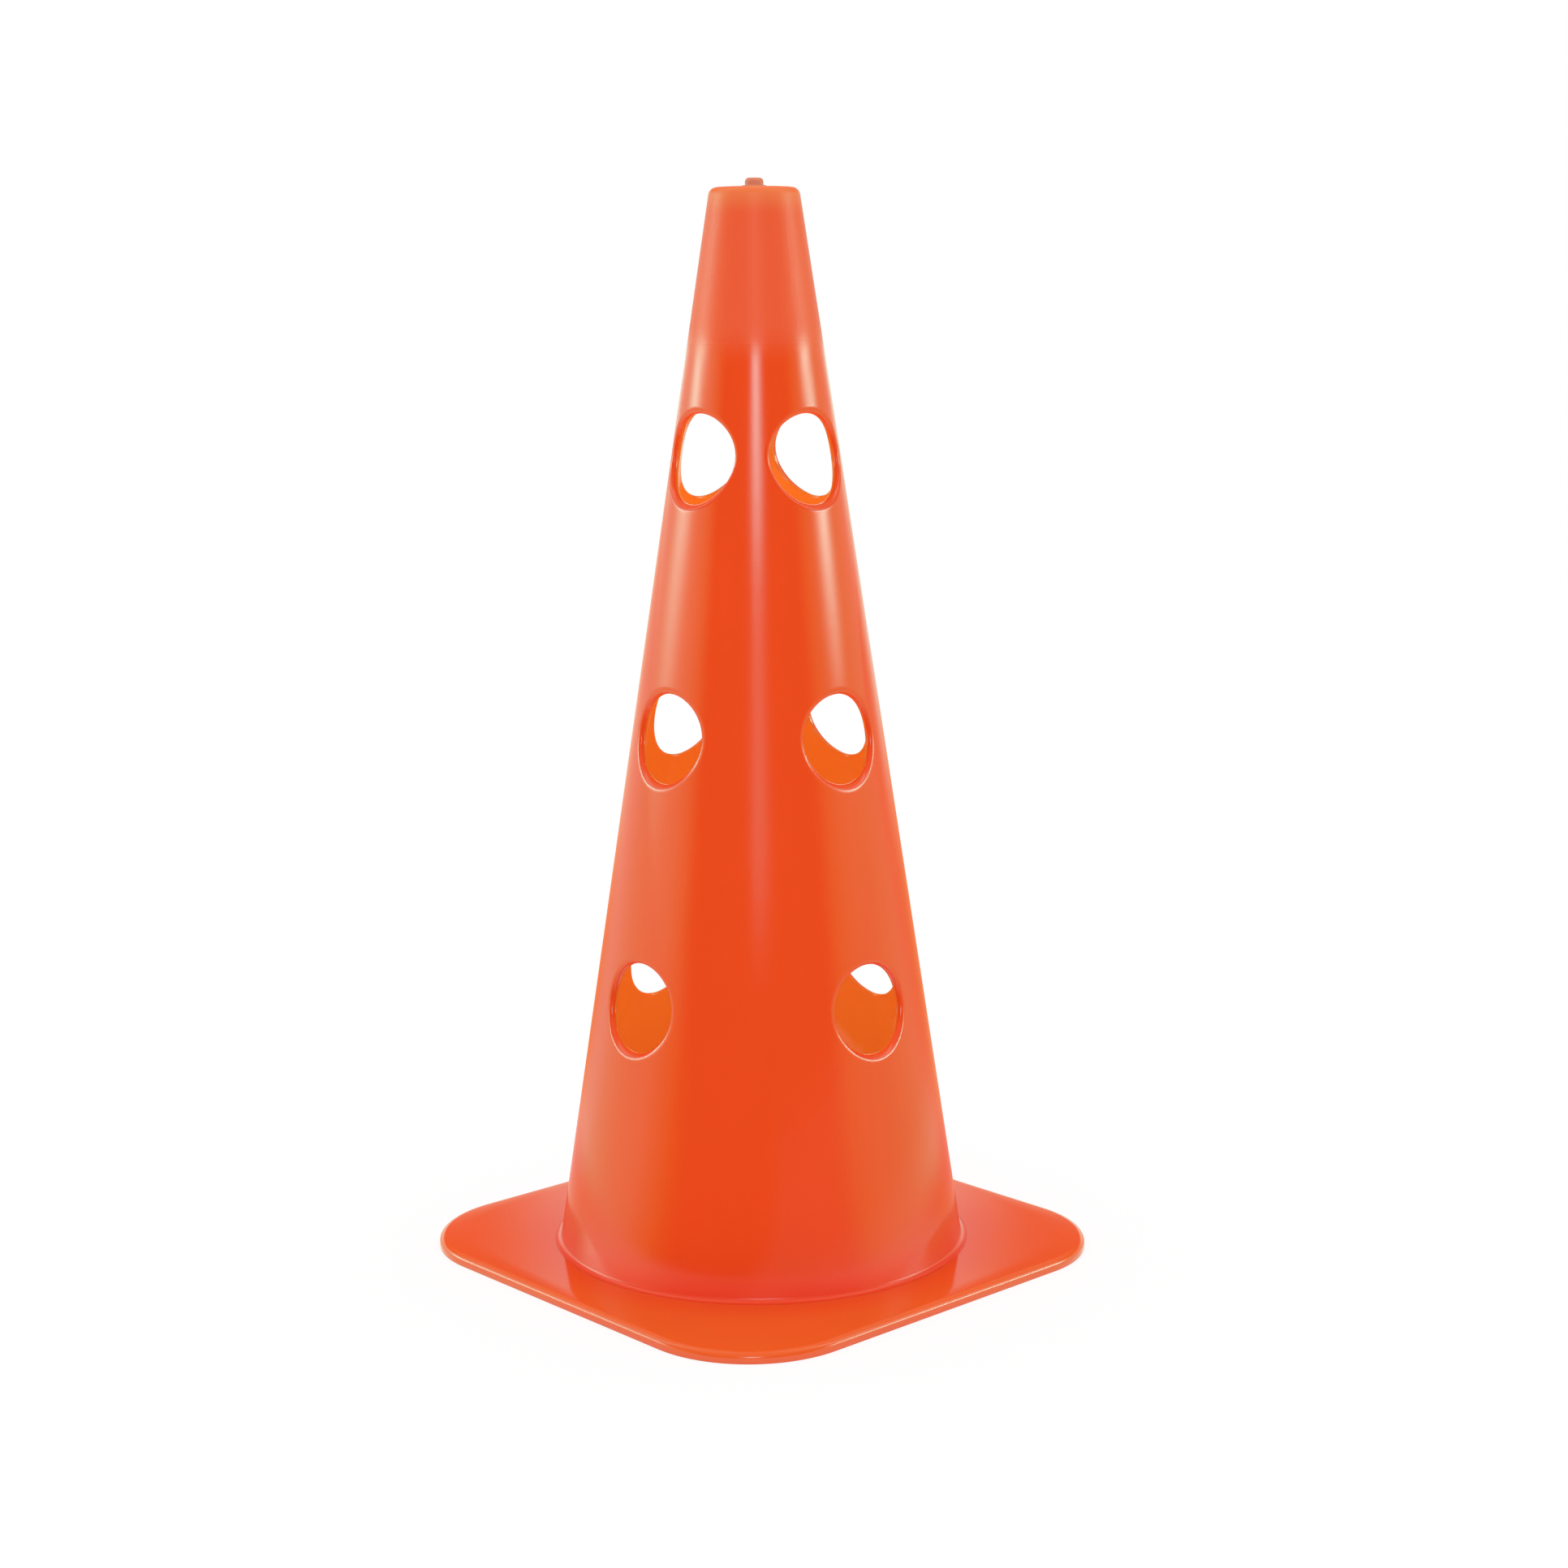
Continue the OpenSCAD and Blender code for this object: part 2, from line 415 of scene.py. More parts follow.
def shell_tree(body, holes, base, material):
    g = ShapeGraph(
        "Cone shell",
        {
            "Height": body.height,
            "Top width": body.top_width,
            "Foot width": body.foot_width,
            "Wall": body.wall,
            "Top rounding": body.top_round,
            "Foot hollow": body.foot_fillet,
            "Lip width": body.lip_width,
            "Lip height": body.lip_height,
            "Spigot radius": body.spigot_radius,
            "Clip thickness": body.spigot_wall,
            "Clip slot": body.clip_slot,
            "Hook reach": body.hook_reach,
            "Plug hole": body.plug_hole,
            "Hole width": holes.width,
            "Low row": holes.low_row,
            "Middle row": holes.mid_row,
            "High row": holes.high_row,
            "Outer edge": holes.outer_round,
            "Inner edge": holes.inner_round,
            "Plate height": base.height,
            "Plate": base.plate,
            "Clearance": base.rib_clearance,
        },
    )
    s = g.given
    foot_r = s["Foot width"] / 2
    slope = (foot_r - s["Top width"] / 2) / (s["Height"] - s["Plate height"])
    lean = slope.math("ARCTANGENT")
    cos_lean, sin_lean = lean.math("COSINE"), lean.math("SINE")
    level_wall = s["Wall"] / cos_lean

    def outer(z):
        return foot_r - (z - s["Plate height"]) * slope

    def inner(z):
        return outer(z) - level_wall

    u, v = g.across, g.along
    hole_r = s["Hole width"] / 2
    rows = [s["Low row"], s["Middle row"], s["High row"]]
    between = [(rows[0] + rows[1]) / 2, (rows[1] + rows[2]) / 2]
    bounds = [rows[0] * 2 - between[0], *between, rows[2] * 2 - between[1]]
    meshes = []

    # One turn round a hole, and where that meets the square edge of the hole's cell
    turn = u * (2 * math.pi)
    turn_side, turn_rise = turn.math("COSINE"), turn.math("SINE")
    largest = turn_side.math("ABSOLUTE").math("MAXIMUM", turn_rise.math("ABSOLUTE"))
    side = (turn_side / largest * (RIGHT_ANGLE / 2)).math("SINE")
    rise = turn_rise / largest
    above, below = rise.math("MAXIMUM", 0.0), rise.math("MINIMUM", 0.0)

    # How far the surface has come from the cell's edge to the hole, with shorter steps at both ends
    closing = v * v * (3 - v * 2)
    opening = 1 - closing
    bend = v * RIGHT_ANGLE
    bend_in, bend_out = 1 - bend.math("COSINE"), 1 - bend.math("SINE")

    def hole_cell(centre, low, high):
        """A quarter of the wall with one hole: both faces, the hole's wall and its round edges."""
        edge_z = centre + above * (high - centre) + below * (centre - low)
        outer_y, inner_y = outer(edge_z) * side, inner(edge_z) * side
        way = (edge_z - centre).math("ARCTAN2", outer_y)
        way_y, way_z = way.math("COSINE"), way.math("SINE")

        def ring(radius):
            return radius * way_y, centre + radius * way_z

        def depth(radius_at, y, z):
            radius = radius_at(z)
            return (radius * radius - y * y).math("SQRT")

        def face(radius_at, edge_y, ring_r, share):
            ring_y, ring_z = ring(ring_r)
            y = edge_y + (ring_y - edge_y) * share
            z = edge_z + (ring_z - edge_z) * share
            return g.vector(depth(radius_at, y, z), y, z)

        def rounded(radius_at, size, over, drop):
            y, z = ring(hole_r + size * over)
            return g.vector(depth(radius_at, y, z) + size * drop, y, z)

        outer_round, inner_round = s["Outer edge"], s["Inner edge"]
        y, z = ring(hole_r)
        start = depth(outer, y, z) - outer_round
        end = depth(inner, y, z) + inner_round
        meshes.append(g.sheet(AROUND, 12, face(outer, outer_y, hole_r + outer_round, closing)))
        meshes.append(g.sheet(AROUND, 6, rounded(outer, outer_round, bend_out, -bend_in)))
        meshes.append(g.sheet(AROUND, 2, g.vector(start + (end - start) * v, y, z)))
        meshes.append(g.sheet(AROUND, 4, rounded(inner, inner_round, bend_in, bend_out)))
        meshes.append(g.sheet(AROUND, 8, face(inner, inner_y, hole_r + inner_round, opening)))

    for centre, low, high in zip(rows, bounds, bounds[1:]):
        hole_cell(centre, low, high)

    # The angles round the cone that match the cells' upper and lower edges
    sweep = u * RIGHT_ANGLE + RIGHT_ANGLE / 2
    spread = sweep.math("COSINE") / sweep.math("SINE") * (RIGHT_ANGLE / 2)
    spread_x, spread_y = spread.math("COSINE"), spread.math("SINE")

    def swept(radius, height, steps):
        """A quarter of the surface that radius and height, both along the outline, give."""
        place = g.vector(radius * spread_x, radius * spread_y, height)
        meshes.append(g.sheet(AROUND // 4, steps, place))

    def line(start, end, steps):
        radius = start[0] + (end[0] - start[0]) * v
        swept(radius, start[1] + (end[1] - start[1]) * v, steps)

    def arc(centre, size, start, end, steps):
        """Angles are from outwards towards upwards."""
        angle = start + (end - start) * v
        radius = centre[0] + size * angle.math("COSINE")
        swept(radius, centre[1] + size * angle.math("SINE"), steps)

    # From the inner wall over the ceiling, the plug's hole and the flat top to the outer wall
    ceiling = s["Height"] - s["Wall"]
    round_z = s["Height"] - s["Top rounding"]
    round_r = outer(round_z) - s["Top rounding"] / cos_lean
    soft = s["Lip height"] / 4
    line((inner(bounds[3]), bounds[3]), (inner(ceiling), ceiling), 4)
    line((inner(ceiling), ceiling), (s["Plug hole"], ceiling), 2)
    line((s["Plug hole"], ceiling), (s["Plug hole"], s["Height"]), 1)
    line((s["Plug hole"], s["Height"]), (round_r, s["Height"]), 3)
    arc((round_r, round_z), s["Top rounding"], RIGHT_ANGLE, lean, 9)
    joint_z = round_z + s["Top rounding"] * sin_lean
    line((outer(joint_z), joint_z), (outer(bounds[3]), bounds[3]), 6)

    # From the outer wall down over the hollow and the lip to the spigot and the inner wall
    lip_top = s["Plate height"] + s["Lip height"]
    hollow_z = lip_top + s["Foot hollow"]
    hollow_r = outer(hollow_z) + s["Foot hollow"] / cos_lean
    meet_z = hollow_z - s["Foot hollow"] * sin_lean
    lip_r = foot_r + s["Foot hollow"] + s["Lip width"]
    slot_top = s["Plate height"] - s["Clearance"]
    inner_foot = s["Spigot radius"] - s["Clip thickness"]
    line((outer(bounds[0]), bounds[0]), (outer(meet_z), meet_z), 8)
    arc((hollow_r, hollow_z), s["Foot hollow"], math.pi + lean, 3 * RIGHT_ANGLE, 8)
    line((hollow_r, lip_top), (lip_r - soft, lip_top), 1)
    arc((lip_r - soft, lip_top - soft), soft, RIGHT_ANGLE, 0.0, 4)
    line((lip_r, lip_top - soft), (lip_r, s["Plate height"]), 1)
    line((lip_r, s["Plate height"]), (s["Spigot radius"], s["Plate height"]), 1)
    line((s["Spigot radius"], s["Plate height"]), (s["Spigot radius"], slot_top), 1)
    line((s["Spigot radius"], slot_top), (inner_foot, slot_top), 1)
    line((inner_foot, slot_top), (inner_foot, s["Plate height"]), 1)
    line((inner_foot, s["Plate height"]), (inner(bounds[0]), bounds[0]), 6)

    # The clips, each a bent tongue with a hook at its lower end. Each level has a height, and
    # says whether the hook reaches out there. The last level lies hidden inside the ring above.
    hook_top = s["Plate height"] - s["Plate"] - HOOK_PLAY
    levels = [
        (s["Clearance"], False),
        (hook_top - HOOK_EDGE, True),
        (hook_top, True),
        (hook_top, False),
        (slot_top, False),
        (slot_top + OVERLAP, False),
    ]
    tongue = g.node(
        "GeometryNodeMeshCube",
        None,
        {"Size": (1, 1, 1), "Vertices X": 2, "Vertices Y": 13, "Vertices Z": len(levels)},
    )
    level = (g.up * (len(levels) - 1)).math("ROUND")
    height, reach = 0.0, 0.0
    for number, (its_height, reaches_out) in enumerate(levels):
        here = level.math("COMPARE", number, 0.1)
        height = here * its_height + height
        if reaches_out:
            reach = here + reach
    outside = s["Spigot radius"] + reach * s["Hook reach"]
    radius = inner_foot + (outside - inner_foot) * u
    half_angle = math.pi / CLIPS - s["Clip slot"] / 2 / s["Spigot radius"]
    angle = (v * 2 - 1) * half_angle
    place = g.vector(radius * angle.math("COSINE"), radius * angle.math("SINE"), height)
    bent = g.node("GeometryNodeSetPosition", None, {"Geometry": tongue, "Position": place})
    quarter = g.welded(g.join(meshes))
    whole = g.join([g.around(quarter, 4), g.around(bent, CLIPS)])
    return g.finish(g.dressed(whole, material))


class MARKERCONE_OT_shell(bpy.types.Operator):
    """Build the cone's hollow body with its pole holes and clips"""

    bl_idname = "marker_cone.shell"
    bl_label = "Cone shell"

    def execute(self, context):
        scene = context.scene
        body, base = scene.marker_cone_body, scene.marker_cone_base
        material = shell_material(scene.marker_cone_finish, body, base)
        tree = shell_tree(body, scene.marker_cone_holes, base, material)
        hand_over(grown("cone_shell_skin", tree), "cone_shell")
        return {"FINISHED"}


def quarter_turn(steps, first=0):
    """Sine and cosine at equal steps through a right angle."""
    angles = [RIGHT_ANGLE * i / steps for i in range(first, steps + 1)]
    return [(math.sin(angle), math.cos(angle)) for angle in angles]


# Steps along each side of the plate's outline, round each of its corners, over its top face,
# round its upper edge and round the rim's foot
SIDE_STEPS = 12
CORNER_STEPS = 24
TOP_STEPS = 4
EDGE_STEPS = 10
RIM_STEPS = 4
# Rounding of the rim where it meets the ground
RIM_ROUND = 0.25 * MM


def rounded_outline(inset, corner):
    """Points of a square outline with round corners, counter-clockwise."""
    side = [(inset + corner, inset * (2 * i / SIDE_STEPS - 1)) for i in range(SIDE_STEPS)]
    bend = [
        (inset + corner * cosine, inset + corner * sine)
        for sine, cosine in quarter_turn(CORNER_STEPS)[:-1]
    ]
    points = []
    for quarter in range(4):
        sine, cosine = math.sin(quarter * RIGHT_ANGLE), math.cos(quarter * RIGHT_ANGLE)
        points += [(x * cosine - y * sine, x * sine + y * cosine) for x, y in side + bend]
    return points


def plate_mesh(base):
    """The base plate without its ribs, as rings of points from the opening over the top and down
    the rim to the underside."""
    inset = base.width / 2 - base.corner
    under = base.height - base.plate

    def outline(out, z):
        return [(x, y, z) for x, y in rounded_outline(inset, base.corner + out)]

    def circle(z, like):
        """The edge of the opening, with a point towards each point of another ring."""
        reaches = [(x, y, base.opening / math.hypot(x, y)) for x, y, _ in like]
        return [(x * reach, y * reach, z) for x, y, reach in reaches]

    def mixed(one, other, share):
        return [tuple(a + (b - a) * share for a, b in zip(p, q)) for p, q in zip(one, other)]

    top_edge = outline(-base.edge_round, base.height)
    hole_edge = circle(base.height, top_edge)
    rings = [mixed(hole_edge, top_edge, i / TOP_STEPS) for i in range(TOP_STEPS + 1)]
    for sine, cosine in quarter_turn(EDGE_STEPS, 1):
        drop = base.edge_round * (1 - cosine)
        rings.append(outline(base.edge_round * (sine - 1), base.height - drop))
    for sine, cosine in quarter_turn(RIM_STEPS):
        rings.append(outline(RIM_ROUND * (cosine - 1), RIM_ROUND * (1 - sine)))
    rings.append(outline(-base.rim, 0.0))
    inner_edge = outline(-base.rim, under)
    rings.append(inner_edge)
    rings.append(circle(under, inner_edge))
    count = len(rings[0])
    faces = []
    for i in range(len(rings)):
        a, b = i * count, (i + 1) % len(rings) * count
        faces += [(a + j, b + j, b + (j + 1) % count, a + (j + 1) % count) for j in range(count)]
    mesh = bpy.data.meshes.new("Base plate")
    mesh.from_pydata([p for ring in rings for p in ring], [], faces)
    mesh.update()
    return mesh


# Direction of the middle rib in each corner, and the angle from there to its neighbours
CORNER_ANGLE = math.radians(45)
RIB_SPREAD = math.radians(18)
# Faces round the ring rib
RING_AROUND = 96


def plate_tree(base, material):
    """Add the ring rib and the twelve corner ribs to the plate's mesh."""
    inset = base.width / 2 - base.corner
    rib_start = base.opening + base.ring_gap + base.rib / 2
    side_end = (base.width / 2 - base.rim / 2) / math.cos(CORNER_ANGLE - RIB_SPREAD)
    corner_end = inset * math.sqrt(2) + base.corner - base.rim / 2
    g = ShapeGraph(
        "Base plate ribs",
        {
            "Opening": base.opening,
            "Ring gap": base.ring_gap,
            "Rib": base.rib,
            "Underside": base.height - base.plate,
            "Clearance": base.rib_clearance,
            "Side rib length": side_end - rib_start,
            "Corner rib length": corner_end - rib_start,
        },
        takes_mesh=True,
    )
    s = g.given
    top = s["Underside"] + OVERLAP
    tall = top - s["Clearance"]
    middle = (top + s["Clearance"]) / 2
    ring_in = s["Opening"] + s["Ring gap"]

    # The ring rib, as one closed band
    corners = [
        (ring_in, s["Clearance"]),
        (ring_in, top),
        (ring_in + s["Rib"], top),
        (ring_in + s["Rib"], s["Clearance"]),
    ]
    turn = g.across * (-2 * math.pi)
    turn_x, turn_y = turn.math("COSINE"), turn.math("SINE")
    bands = []
    for start, end in zip(corners, corners[1:] + corners[:1]):
        radius = start[0] + (end[0] - start[0]) * g.along
        height = start[1] + (end[1] - start[1]) * g.along
        place = g.vector(radius * turn_x, radius * turn_y, height)
        bands.append(g.sheet(RING_AROUND, 1, place))

    # Three straight ribs in each corner, from the middle of the ring rib into the rim
    ribs = []
    for step, name in ((-1, "Side rib length"), (0, "Corner rib length"), (1, "Side rib length")):
        size = g.vector(s[name], s["Rib"], tall)
        bar = g.node(
            "GeometryNodeMeshCube",
            None,
            {"Size": size, "Vertices X": 5, "Vertices Y": 2, "Vertices Z": 2},
        )
        centre = g.vector(ring_in + s["Rib"] / 2 + s[name] / 2, 0.0, middle)
        moved = g.node(
            "GeometryNodeTransform", None, {"Geometry": bar, "Translation": centre}
        )
        ribs.append(g.around(moved, 4, CORNER_ANGLE + RIB_SPREAD * step))
    return g.finish(g.dressed(g.join([s["Mesh"], *bands, *ribs]), material, PLATE_CREASE))


class MARKERCONE_OT_base(bpy.types.Operator):
    """Build the square base plate with its rounded rim and the ribs underneath"""

    bl_idname = "marker_cone.base"
    bl_label = "Base plate"

    def execute(self, context):
        scene = context.scene
        base = scene.marker_cone_base
        material = plate_material(scene.marker_cone_finish)
        piece = grown("base_plate_skin", plate_tree(base, material), plate_mesh(base))
        hand_over(piece, "base_plate")
        return {"FINISHED"}


# Play between the barb and the body's ceiling
BARB_PLAY = 0.15 * MM
# Depth of the shallow dish in the stub's top, and its width as a share of the stub's
DISH = 0.25 * MM
DISH_SHARE = 0.3
DISH_STEPS = 3
# Rounding where the stub meets the flange
NECK_ROUND = 0.3 * MM
# Steps round the stub's upper edge and round the small roundings, and faces round the plug
STUB_STEPS = 8
SOFT_STEPS = 4
PLUG_AROUND = 48


def plug_outline(body, plug):
    """Radius and height of each ring of the plug, from the stub's middle to the barb's end."""
    top = body.height
    stub_top = top + plug.stub_height
    flange_top = top + plug.flange_height
    barb_top = top - body.wall - BARB_PLAY
    barb_end = barb_top - plug.barb_length
    stub_r = plug.stub_width / 2
    flange_r = plug.flange_width / 2
    stem_r = plug.stem_width / 2
    flat_r = stub_r - plug.stub_round
    soft = plug.flange_height / 3
    outline = []
    for i in range(DISH_STEPS + 1):
        outwards = i / DISH_STEPS
        outline.append((stub_r * DISH_SHARE * outwards, stub_top - DISH * (1 - outwards) ** 2))
    outline += [
        (flat_r + plug.stub_round * sine, stub_top - plug.stub_round * (1 - cosine))
        for sine, cosine in quarter_turn(STUB_STEPS, 1)
    ]
    outline += [
        (stub_r + NECK_ROUND * (1 - cosine), flange_top + NECK_ROUND * (1 - sine))
        for sine, cosine in quarter_turn(SOFT_STEPS)
    ]
    outline += [
        (flange_r - soft * (1 - sine), flange_top - soft * (1 - cosine))
        for sine, cosine in quarter_turn(SOFT_STEPS)
    ]
    outline += [
        (flange_r, top),
        (stem_r, top),
        (stem_r, barb_top),
        (body.plug_hole + plug.barb_reach, barb_top),
        (stem_r - plug.barb_reach, barb_end),
        (0.0, barb_end),
    ]
    return outline


def spun_mesh(name, outline, around):
    """A closed mesh that an outline of radii and heights sweeps round the Z axis."""
    turns = [2 * math.pi * j / around for j in range(around)]
    points = [(0, 0, outline[0][1])]
    for radius, height in outline[1:-1]:
        points += [(radius * math.cos(turn), radius * math.sin(turn), height) for turn in turns]
    points.append((0, 0, outline[-1][1]))
    end = len(points) - 1
    last = end - around
    faces = []
    for j in range(around):
        k = (j + 1) % around
        faces.append((0, 1 + j, 1 + k))
        for a in range(1, last, around):
            b = a + around
            faces.append((a + j, b + j, b + k, a + k))
        faces.append((last + j, end, last + k))
    mesh = bpy.data.meshes.new(name)
    mesh.from_pydata(points, [], faces)
    mesh.update()
    return mesh


class MARKERCONE_OT_plug(bpy.types.Operator):
    """Build the small duller plug in the flat top"""

    bl_idname = "marker_cone.plug"
    bl_label = "Top plug"

    def execute(self, context):
        scene = context.scene
        outline = plug_outline(scene.marker_cone_body, scene.marker_cone_plug)
        mesh = spun_mesh("top_plug_skin", outline, PLUG_AROUND)
        mesh.materials.append(plug_material(scene.marker_cone_finish))
        mesh.shade_smooth()
        mesh.set_sharp_from_angle(angle=CREASE)
        piece = bpy.data.objects.new("top_plug_skin", mesh)
        scene.collection.objects.link(piece)
        hand_over(piece, "top_plug")
        return {"FINISHED"}


# Finishes


def shader(name):
    """A new material and its empty graph."""
    material = bpy.data.materials.new(name)
    material.use_nodes = True
    tree = material.node_tree
    tree.nodes.clear()
    return material, Graph(tree)


# Refraction, and the light that spreads under the surface of each plastic
MOULDED_PLASTIC = {
    "IOR": 1.5,
    "Subsurface Weight": 0.15,
    "Subsurface Radius": (1.0, 0.4, 0.15),
    "Subsurface Scale": 1.5 * MM,
}
DULL_PLASTIC = {
    "IOR": 1.48,
    "Subsurface Weight": 0.2,
    "Subsurface Radius": (1.0, 0.4, 0.2),
    "Subsurface Scale": 1.0 * MM,
}


def close_material(g, plastic, skin, rough, bump):
    """End a material with a Principled shader that holds the plastic's constants."""
    values = {"Base Color": skin, "Roughness": rough, "Normal": bump, **plastic}
    bsdf = g.node("ShaderNodeBsdfPrincipled", {"subsurface_method": "RANDOM_WALK"}, values)
    g.node("ShaderNodeOutputMaterial", None, {"Surface": bsdf})


def four(rgb):
    return (*rgb, 1.0)


def shell_material(finish, body, base):
    """Glossy orange moulded plastic, frosted and a touch paler near the top, the paleness partly a
    painted sheen, with a painted highlight on the flat top's edge, painted shade at the foot and a
    painted glow on the inner faces.
    """
    material, g = shader("Orange cone plastic")
    where = g.node("ShaderNodeTexCoord", out="Object")
    x, y, z = g.parts(where)
    radius = (x * x + y * y).math("SQRT")
    slope = (body.foot_width - body.top_width) / 2 / (body.height - base.height)
    depth = (body.foot_width / 2 - (z - base.height) * slope) - radius
    inside = g.ease(depth, body.wall * 0.45, body.wall * 0.85)

    # Cloudy flow of the moulded plastic
    cloud = g.noise(where, 14.0, 3.0)
    flow = g.noise(g.vector(x * 60, y * 60, z * 7), 1.0, 2.0)
    tone = (cloud - 0.5) * 0.10 + (flow - 0.5) * 0.05 + 1.0

    # Frosted and paler near the top (partly a painted sheen), a painted highlight on the flat top's
    # edge, painted shade at the foot, and a painted glow inside for light through the wall
    frost = g.ease(z, finish.frost_from, finish.frost_full)
    # Painted highlight on the flat top's edge, where it faces the light from above
    highlit = g.ease(z, body.height - 10 * MM, body.height - 1 * MM)
    # Painted shade at the foot, where the body meets the plate
    foot = g.ease(z, 5 * MM, 17 * MM, 1.0, 0.0)
    # Frosted top a touch paler, partly the frosting and partly a painted sheen
    skin = g.blend(frost, four(finish.orange), four(finish.frosted_sheen_orange))
    skin = g.blend(highlit, skin, four(finish.painted_highlight_orange))
    skin = g.blend(foot, skin, four(finish.foot_shade_orange))
    # Painted glow on the inner faces, for light that comes through the wall
    skin = g.blend(inside, skin, four(finish.inner_glow_orange))

    # Fine scuffs that a tossed and stacked cone gets, most of them at the foot
    scuff = g.noise(g.vector(x * 900, y * 900, z * 60), 1.0, 2.0)
    worn = g.ease(z, 6 * MM, 16 * MM, 0.18, 0.0)
    rough = finish.gloss + worn + (scuff - 0.5) * 0.03 + frost * (finish.frost - finish.gloss)

    # Moulding waves, a slight orange peel, and the frosting's grain
    wave = g.noise(g.vector(x * 30, y * 30, z * 9), 1.0, 1.0)
    peel = g.noise(where, 190.0, 1.0)
    grain = g.noise(where, 2600.0, 1.0)
    bump = g.bump(0.35, 0.4 * MM, peel * 0.05 + grain * frost * 0.04 + wave * 0.35)
    close_material(g, MOULDED_PLASTIC, g.shaded(skin, tone), rough, bump)
    return material


def plate_material(finish):
    """Glossy orange moulded plastic with a slightly rippled top, and painted shade close to the cone's
    foot.
    """
    material, g = shader("Orange base plastic")
    where = g.node("ShaderNodeTexCoord", out="Object")
    x, y, _ = g.parts(where)
    radius = (x * x + y * y).math("SQRT")
    # Painted shade: the plate is made deeper orange close to the cone's foot, where less light falls
    plate_foot_shade = g.ease(radius, 76 * MM, 92 * MM, 0.65, 0.0)
    skin = g.blend(plate_foot_shade, four(finish.plate_orange), four(finish.orange))
    tone = (g.noise(where, 18.0, 3.0) - 0.5) * 0.10 + 1.0
    rough = finish.plate_gloss + (g.noise(where, 420.0, 2.0) - 0.5) * 0.03
    wave = g.noise(where, 28.0, 1.0)
    peel = g.noise(where, 150.0, 1.0)
    bump = g.bump(0.35, 0.4 * MM, peel * 0.05 + wave * 0.35)
    close_material(g, MOULDED_PLASTIC, g.shaded(skin, tone), rough, bump)
    return material


def plug_material(finish):
    """Duller, slightly browner plastic with a fine grain and a little dust."""
    material, g = shader("Dull plug plastic")
    where = g.node("ShaderNodeTexCoord", out="Object")
    cloud = g.noise(where, 260.0, 3.0)
    grain = g.noise(where, 1800.0, 2.0)
    dust = g.ease(cloud, 0.45, 0.75) * 0.35
    dusty = [min(1, part * 1.25) for part in finish.plug_orange]
    skin = g.blend(dust, four(finish.plug_orange), four(dusty))
    rough = 0.48 + (grain - 0.5) * 0.2
    bump = g.bump(0.4, 0.1 * MM, grain * 0.4 + cloud)
    close_material(g, DULL_PLASTIC, skin, rough, bump)
    return material


# Stage


class MARKERCONE_PG_stage(bpy.types.PropertyGroup):
    """The camera's place and the studio round the object."""

    azimuth: turned_by("Azimuth", "The camera's way round the cone", 47.18)
    distance: length("Distance", "From the cone's axis to the camera", 0.969)
    eye_height: length("Eye height", "The camera above the ground", 0.34538)
    side_step: length("Side step", "The camera's step to the right", 0.0092)
    pitch: turned_by("Pitch", "How far the camera looks down", 10.1914)
    roll: turned_by("Roll", "The camera's roll", -0.2978)
    lens: bpy.props.FloatProperty(
        name="Lens",
        description="Focal length on a 36 mm sensor",
        default=63.198,
        min=1,
        unit="CAMERA",
    )


# Width of the camera's sensor, in millimetres
SENSOR_WIDTH = 36.0
# Height and power of each weak lamp inside the body
INNER_LAMPS = ((0.06, 0.050), (0.13, 0.040), (0.20, 0.024), (0.27, 0.018), (0.33, 0.010))
# Degrees from the camera's direction to each soft strip of light
MIDDLE_STRIP = 1.3
LEFT_STRIP = -103.0
RIGHT_STRIP = 91.0
# Mirrored red as a share of the mirrored green, and the least of it
RED_SHARE = 0.36
RED_LEAST = 0.5


def camera_turn(x, y, azimuth):
    """Degrees round the Z axis from the camera's direction, with the camera's right positive."""
    to_camera = x * math.sin(azimuth) - y * math.cos(azimuth)
    to_right = x * math.cos(azimuth) + y * math.sin(azimuth)
    return to_right.math("ARCTAN2", to_camera) * (180 / math.pi)


def tinted(g, warm, cool, plain):
    """Mirrored light with the red held low, because the orange is red enough by itself. Where
    plain is 1 the red is full."""
    red = (warm * RED_SHARE).math("MAXIMUM", RED_LEAST) * (1 - plain) + plain
    return g.vector(red, warm, cool)


